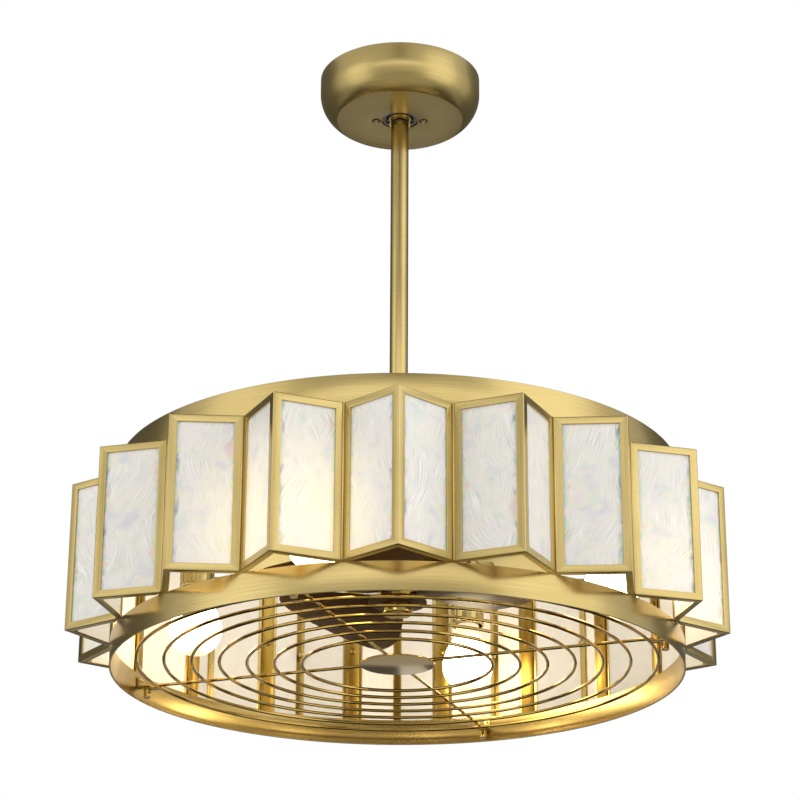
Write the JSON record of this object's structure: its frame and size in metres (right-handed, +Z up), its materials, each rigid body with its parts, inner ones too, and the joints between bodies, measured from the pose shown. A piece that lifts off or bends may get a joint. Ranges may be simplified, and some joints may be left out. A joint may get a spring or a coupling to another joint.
{
  "type": "chandelier ceiling fan",
  "caption": "Ceiling fan in a round drum of zigzag brass framed pearly glass panels, with lamps inside, a wire grille below and a downrod to a cup canopy.",
  "frame": {"origin": "centre of the ceiling bracket's top face, in the plane of the ceiling", "axes": "+Z up, towards the ceiling; -Y towards the side the picture shows; +X to the right in it"},
  "size_m": [0.7288, 0.74, 0.7477],
  "materials": {
    "satin_brass": "satin brushed plating",
    "plated_aluminium": "cast, plated satin brass",
    "zinc_steel": "zinc plated",
    "black_nylon": "moulded matte",
    "dark_brown_gloss": "dark brown gloss lacquer",
    "pearl_glass": "rippled opal glass with a pearly sheen",
    "lamp_glass": "frosted"
  },
  "bodies": {
    "ceiling_fitting": {"ceiling_bracket": "zinc_steel", "canopy": "satin_brass", "canopy_screw_left": "satin_brass", "canopy_screw_right": "satin_brass"},
    "hanging_frame": {"hanger_ball": "black_nylon", "hanger_pin": "zinc_steel", "downrod": "satin_brass", "rod_coupling": "satin_brass", "lamp_arms": "satin_brass", "motor_housing": "plated_aluminium", "drum_frame": "satin_brass", "lamp_holder_1": "satin_brass", "lamp_holder_2": "satin_brass", "lamp_holder_3": "satin_brass", "lamp_holder_4": "satin_brass", "panel_frame_01": "satin_brass", "panel_frame_02": "satin_brass", "panel_frame_03": "satin_brass", "panel_frame_04": "satin_brass", "panel_frame_05": "satin_brass", "panel_frame_06": "satin_brass", "panel_frame_07": "satin_brass", "panel_frame_08": "satin_brass", "panel_frame_09": "satin_brass", "panel_frame_10": "satin_brass", "panel_frame_11": "satin_brass", "panel_frame_12": "satin_brass", "panel_frame_13": "satin_brass", "panel_frame_14": "satin_brass", "panel_frame_15": "satin_brass", "panel_frame_16": "satin_brass", "panel_frame_17": "satin_brass", "panel_frame_18": "satin_brass", "glass_strip_1": "pearl_glass", "glass_strip_2": "pearl_glass", "glass_strip_3": "pearl_glass", "glass_strip_4": "pearl_glass", "glass_strip_5": "pearl_glass", "glass_strip_6": "pearl_glass", "grille_clip_1": "satin_brass", "grille_clip_2": "satin_brass", "grille_clip_3": "satin_brass", "grille_clip_4": "satin_brass"},
    "rotor": {"rotor_hub": "satin_brass", "blade_plate": "dark_brown_gloss", "hub_cap": "satin_brass", "blade_1": "dark_brown_gloss", "blade_2": "dark_brown_gloss", "blade_3": "dark_brown_gloss"},
    "grille": {"grille": "satin_brass"},
    "bulb_1": {"bulb_1": "lamp_glass"},
    "bulb_2": {"bulb_2": "lamp_glass"},
    "bulb_3": {"bulb_3": "lamp_glass"},
    "bulb_4": {"bulb_4": "lamp_glass"},
    "thumb_screw_1": {"thumb_screw_1": "satin_brass"},
    "thumb_screw_2": {"thumb_screw_2": "satin_brass"},
    "thumb_screw_3": {"thumb_screw_3": "satin_brass"},
    "thumb_screw_4": {"thumb_screw_4": "satin_brass"}
  },
  "joints": [
    {"name": "swing", "type": "hinge", "parent": "ceiling_fitting", "child": "hanging_frame", "pos_m": [0, 0, -0.036], "axis": [1, 0, 0], "range_deg": [-20, 20]},
    {"name": "rotor_spin", "type": "hinge", "parent": "hanging_frame", "child": "rotor", "pos_m": [0, 0, -0.63], "axis": [0, 0, 1], "continuous": true},
    {"name": "grille_drop", "type": "slide", "parent": "hanging_frame", "child": "grille", "axis": [0, 0, -1], "range_m": [0, 0.05]},
    {"name": "bulb_1_turn", "type": "hinge", "parent": "hanging_frame", "child": "bulb_1", "pos_m": [-0.08482, -0.23304, -0.6209], "axis": [0, 0, -1], "range_deg": [0, 1260]},
    {"name": "bulb_2_turn", "type": "hinge", "parent": "hanging_frame", "child": "bulb_2", "pos_m": [0.23304, -0.08482, -0.6209], "axis": [0, 0, -1], "range_deg": [0, 1260]},
    {"name": "bulb_3_turn", "type": "hinge", "parent": "hanging_frame", "child": "bulb_3", "pos_m": [0.08482, 0.23304, -0.6209], "axis": [0, 0, -1], "range_deg": [0, 1260]},
    {"name": "bulb_4_turn", "type": "hinge", "parent": "hanging_frame", "child": "bulb_4", "pos_m": [-0.23304, 0.08482, -0.6209], "axis": [0, 0, -1], "range_deg": [0, 1260]},
    {"name": "thumb_screw_1_turn", "type": "hinge", "parent": "grille", "child": "thumb_screw_1", "pos_m": [-0.10466, -0.28755, -0.7372], "axis": [0, 0, -1], "range_deg": [0, 2520]},
    {"name": "thumb_screw_2_turn", "type": "hinge", "parent": "grille", "child": "thumb_screw_2", "pos_m": [0.28755, -0.10466, -0.7372], "axis": [0, 0, -1], "range_deg": [0, 2520]},
    {"name": "thumb_screw_3_turn", "type": "hinge", "parent": "grille", "child": "thumb_screw_3", "pos_m": [0.10466, 0.28755, -0.7372], "axis": [0, 0, -1], "range_deg": [0, 2520]},
    {"name": "thumb_screw_4_turn", "type": "hinge", "parent": "grille", "child": "thumb_screw_4", "pos_m": [-0.28755, 0.10466, -0.7372], "axis": [0, 0, -1], "range_deg": [0, 2520]}
  ]
}
